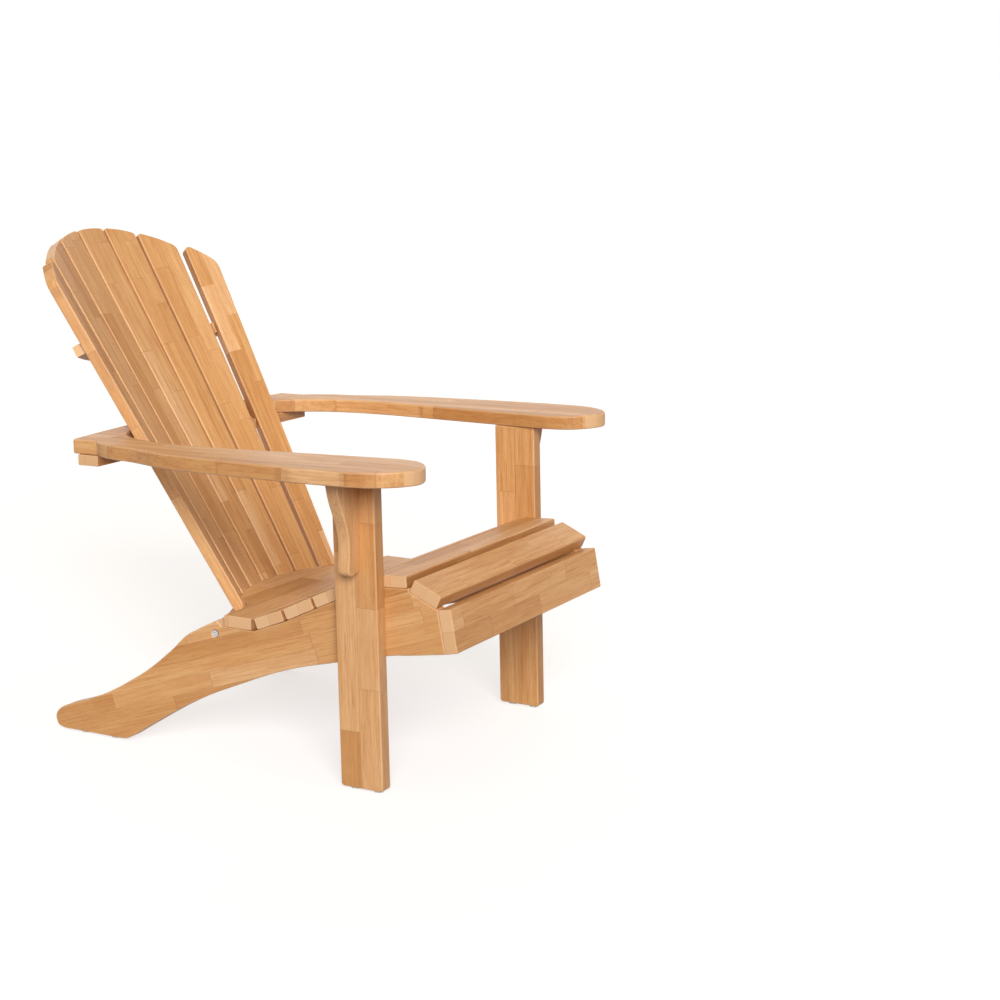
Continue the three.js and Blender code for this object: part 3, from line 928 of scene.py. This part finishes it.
def arm_under(y):
    return ARM_UNDER - ARM_FALL * y


for word in SIDES:
    node = f"leg_{word}"
    reach = LEG_SHIFT * ARM_UNDER
    corners = [
        (LEG_SHIFT * GLIDE_HEIGHT, GLIDE_HEIGHT, 6),
        (LEG_DEPTH + LEG_SHIFT * GLIDE_HEIGHT, GLIDE_HEIGHT, 6),
        (LEG_DEPTH + reach, arm_under(LEG_DEPTH + reach) - LEG_GAP, 0),
        (reach, arm_under(reach) - LEG_GAP, 0),
    ]
    leg = ease(settle(saw(node + "_finished", corners, RAIL_THICKNESS, SIDE_ON), node), 2.4)
    hand_in(lay_grain(leg, (0, LEG_SHIFT, 1), Y, staves=2, block_mm=200.0, flat=X), node)

# %% [markdown]
# ## Arms
# Each arm is broad and round over the leg, narrows towards the backrest, and hooks in behind it. One
# drawing serves both, mirrored. It is turned by the arm's slope and eased more than the rest, because
# hands lie on it.

# %% Arms
ARM_THICKNESS = 26
ARM_REAR = [(138, 645), (200, 640.5), (262, 635), (320.7, 628)]
ARM_ROUND = [(326.7, 572), (342, 546), (354, 512), (361, 468), (385, 393), (397, 310), (406, 190),
             (410, 77), (408, -15), (394, -58), (370, -88), (341, -103), (313, -98), (286, -80),
             (270, -57), (262, -18)]
ARM_INNER = [(262, -18), (267, 41), (273, 106), (281, 190), (289, 270), (296, 355), (295, 428), (284, 491),
             (264, 540), (238, 575), (205, 593.5), (160, 616.5), (138, 625.5)]


def arm_corners(side):
    rear = [*sweep(ARM_REAR), (*ARM_REAR[-1], 0), (326.7, 624, 0)]
    corners = [*rear, *sweep(ARM_ROUND), *sweep(ARM_INNER), (*ARM_INNER[-1], 0)]
    return [(side * x, y, setback) for x, y, setback in corners]


for word, side in SIDES.items():
    node = f"arm_{word}"
    tilt = Matrix.Rotation(-math.atan(ARM_FALL), 4, "X")
    arm = settle(saw(node + "_finished", arm_corners(side), ARM_THICKNESS, tilt), node)
    ease(arm, 3.2, 4)
    hand_in(lay_grain(arm, (0, 1, -ARM_FALL), X, staves=3, block_mm=420.0, flat=Z, width=90.0), node)
    print(node, len(arm.data.polygons), "faces")

# %% [markdown]
# ## Arm brackets
# A small bracket stands square to the leg under the broad part of the arm and carries its overhang. It is
# wide at the top, hollow in the middle and rounded at its foot.

# %% Brackets
BRACKET_THICKNESS = 23
FRONT_ON = Matrix.Rotation(math.pi / 2, 4, "X")
for word, side in SIDES.items():
    node = f"arm_bracket_{word}"
    hollow = sweep([(33, -154), (31, -118), (36, -88), (48, -60), (60, -34), (70, 0)])
    corners = [(0, 0, 0), (0, -164, 3), (33, -170.6, 13), *hollow, (70, 0, 0)]
    corners = [(side * x, y, setback) for x, y, setback in corners]
    bracket = saw(node + "_finished", corners, BRACKET_THICKNESS, FRONT_ON)
    ease(settle(bracket, node), 2.4)
    hand_in(lay_grain(bracket, Z, X, staves=1, block_mm=400.0, flat=Y, width=75.0), node)

# %% [markdown]
# ## Pieces scribed to the backrest
# The three back rails and the rear seat board are cut to the slats' faces, which takes a sawn edge that
# no single outline gives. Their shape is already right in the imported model, so a copy of it is merged
# into whole faces and gets the same wood. The node itself is left alone.


# %% Rails behind the slats and the rear seat board
WELD = 0.02 * MM
FLAT_WITHIN = math.radians(0.5)


def from_node(node):
    piece = bpy.data.objects.new(node + "_finished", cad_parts[node].data.copy())
    scene.collection.objects.link(piece)
    piece.data.materials.clear()
    piece.data.materials.append(teak)
    work = bmesh.new()
    work.from_mesh(piece.data)
    bmesh.ops.remove_doubles(work, verts=work.verts, dist=WELD)
    bmesh.ops.dissolve_limit(work, angle_limit=FLAT_WITHIN, verts=work.verts, edges=work.edges)
    bmesh.ops.recalc_face_normals(work, faces=work.faces)
    work.to_mesh(piece.data)
    work.free()
    layers = piece.data.attributes
    for name in [a.name for a in layers if a.name in ("UVMap", "custom_normal", "sharp_edge")]:
        layers.remove(layers[name])
    return ease(piece, 0)


# staves, length of a block, direction out of the flat face
SCRIBED = {
    "rear_seat_board": (3, 300.0, Z),
    "lower_back_rail": (3, 280.0, Z),
    "middle_back_rail": (3, 280.0, Z),
    "upper_back_rail": (2, 250.0, up),
}
for node, (staves, block_mm, flat) in SCRIBED.items():
    piece = from_node(node)
    hand_in(lay_grain(piece, X, Y, staves, block_mm, flat), node)
    print(node, len(piece.data.polygons), "faces")

# %% [markdown]
# ## Glides
# Eight moulded discs keep the end grain off the ground, two under each leg and two under each rear foot.
# They are all alike, so a tree puts one tapered disc on each of eight points, and the result is split
# into eight.


# %% Glides
GLIDE_RADIUS = 9
GLIDE_THICKNESS = GLIDE_HEIGHT - LEG_GAP
GLIDE_TAPER = 1
GLIDE_SIDES = 40


def glide_tree():
    sizes = {"Points": "Geometry", "Radius": "Float", "Height": "Float", "Taper": "Float"}
    tree, given = new_tree("Glides on points", {**sizes, "Plastic": "Material"})
    foot = add(tree, "ShaderNodeMath", {0: given["Radius"], 1: given["Taper"]}, operation="SUBTRACT")
    disc = add(
        tree,
        "GeometryNodeMeshCone",
        {
            "Vertices": GLIDE_SIDES,
            "Radius Top": given["Radius"],
            "Radius Bottom": foot.outputs[0],
            "Depth": given["Height"],
        },
    )
    inputs = {"Points": given["Points"], "Instance": disc.outputs[0]}
    spread = add(tree, "GeometryNodeInstanceOnPoints", inputs)
    return end_tree(tree, spread.outputs[0], given["Plastic"])


glide_nodes = sorted(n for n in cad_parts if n.startswith("glide_"))
spots = bpy.data.meshes.new("glide_spots")
undersides = []
for name in glide_nodes:
    low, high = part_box(name)
    undersides.append(((low.x + high.x) / 2, (low.y + high.y) / 2, low.z))
spots.from_pydata(undersides, [], [])
sizes = {"Radius": GLIDE_RADIUS * MM, "Height": GLIDE_THICKNESS * MM, "Taper": GLIDE_TAPER * MM}
glides = grow("glides", spots, glide_tree(), **sizes, Plastic=nylon)
print(len(glide_nodes), "discs of", 2 * GLIDE_RADIUS, "mm")

# %% [markdown]
# Each glide is its own object. Eight copies of the discs are made, and each copy loses every disc that is
# far from its own node.

# %% One object for each glide
NEAR_GLIDE = 20 * MM


def split(piece, names):
    """One object for each loose disc, named for the node that it sits on."""
    made = []
    for name in names:
        middle = (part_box(name)[0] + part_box(name)[1]) / 2
        part = bpy.data.objects.new(name + "_finished", piece.data.copy())
        scene.collection.objects.link(part)
        work = bmesh.new()
        work.from_mesh(part.data)
        far = [v for v in work.verts if (v.co - middle).length > NEAR_GLIDE]
        bmesh.ops.delete(work, geom=far, context="VERTS")
        work.to_mesh(part.data)
        work.free()
        made.append(hand_in(ease(part, 0.7, 3, 25.0), name))
    bpy.data.objects.remove(piece)
    return made


print(len(split(glides, glide_nodes)), "glides split")

# %% [markdown]
# ## Floor, light and camera
# The chair stands on a plain pale floor of lit paper, which stays almost white under it. A real studio
# lights its paper from behind, so the paper here gives off light of its own, and the chair's shadow stays
# faint. It is hidden from scattered rays, or its glow would wash out the shade under the seat.

# %% Floor
FLOOR_HALF = 60.0
FLOOR_DROP = 0.5 * MM
PAPER_GLOW = 0.68
floor_mesh = bpy.data.meshes.new("floor")
corners = [(x * FLOOR_HALF, y * FLOOR_HALF, 0) for x, y in ((-1, -1), (1, -1), (1, 1), (-1, 1))]
floor_mesh.from_pydata(corners, [], [(0, 1, 2, 3)])
floor = bpy.data.objects.new("floor", floor_mesh)
floor.location.z = cad_box[0].z - FLOOR_DROP
floor.visible_diffuse = False
scene.collection.objects.link(floor)
paper = bpy.data.materials.new("pale_lit_paper")
paper.use_nodes = True
paper_shader = paper.node_tree.nodes["Principled BSDF"]
paper_shader.inputs["Base Color"].default_value = colour("#bcbbb9")
paper_shader.inputs["Roughness"].default_value = 0.9
paper_shader.inputs["Specular IOR Level"].default_value = 0.0
paper_shader.inputs["Emission Color"].default_value = colour("#ffffff")
paper_shader.inputs["Emission Strength"].default_value = PAPER_GLOW
floor_mesh.materials.append(paper)
print("floor at z =", round(floor.location.z, 4))

# %% [markdown]
# The studio around the chair is white, and it is what the chair's soft shine mirrors. As light it is
# weaker and warmer than it looks, so that the shade under the seat stays deep: the world asks each ray
# whether it carries scattered light, and answers with less if it does. One large soft light stands low in
# front and to the sitter's right, a weaker one hangs above, and a weak fill behind on the left keeps the
# far side readable.

# %% Lights
scene.view_settings.view_transform = "Standard"
world = bpy.data.worlds.new("studio")
world.use_nodes = True
scene.world = world
sky = world.node_tree
scattered = add(sky, "ShaderNodeLightPath").outputs["Is Diffuse Ray"]
inputs = {0: scattered, 6: colour("#ffffff"), 7: colour("#ffdcb8")}
tint = add(sky, "ShaderNodeMix", inputs, data_type="RGBA")
strength = add(sky, "ShaderNodeMapRange", {"Value": scattered, "To Min": 1.0, "To Max": 0.2})
sky.links.new(tint.outputs[2], sky.nodes["Background"].inputs["Color"])
sky.links.new(strength.outputs[0], sky.nodes["Background"].inputs["Strength"])

LAMP_DISTANCE = 3.0
chair_middle = (cad_box[0] + cad_box[1]) / 2


def soft_sun(name, toward, spread, power):
    """A sun seen through a large screen: spread is the angle that the screen fills."""
    lamp = bpy.data.lights.new(name, "SUN")
    lamp.angle = math.radians(spread)
    lamp.energy = power
    light = bpy.data.objects.new(name, lamp)
    light.rotation_euler = (-Vector(toward)).to_track_quat("-Z", "Y").to_euler()
    light.location = chair_middle + Vector(toward).normalized() * LAMP_DISTANCE
    scene.collection.objects.link(light)
    return light


soft_sun("key", (-0.75, -0.54, 0.43), 30.0, 3.2)
soft_sun("top", (-0.1, -0.1, 1.0), 60.0, 0.3)
soft_sun("fill", (0.8, 0.55, 0.3), 70.0, 0.6)
print("lights: a key from the sitter's right, a weaker one above and a fill from behind on the left")

# %% [markdown]
# The camera looks from the front and the sitter's right, a little from above, with a lens long enough to
# keep the boards straight. Its aim lies well in front of the chair, which leaves the free floor beside it
# in view.

# %% Camera
AZIMUTH = math.radians(-61.29)
ELEVATION = math.radians(11.23)
DISTANCE = 3.65
AIM_OFFSET = Vector((-0.019, -0.437, 0.0135))
SENSOR_WIDTH = 36.0
FOCAL_LENGTH = 74.65
lens = bpy.data.cameras.new("camera")
lens.sensor_width = SENSOR_WIDTH
lens.lens = FOCAL_LENGTH
camera = bpy.data.objects.new("camera", lens)
aim = chair_middle + AIM_OFFSET
back = Vector(
    (
        math.sin(AZIMUTH) * math.cos(ELEVATION),
        -math.cos(AZIMUTH) * math.cos(ELEVATION),
        math.sin(ELEVATION),
    )
)
camera.location = aim + back * DISTANCE
camera.rotation_euler = (-back).to_track_quat("-Z", "Y").to_euler()
scene.collection.objects.link(camera)
scene.camera = camera
print("camera at", [round(v, 3) for v in camera.location])
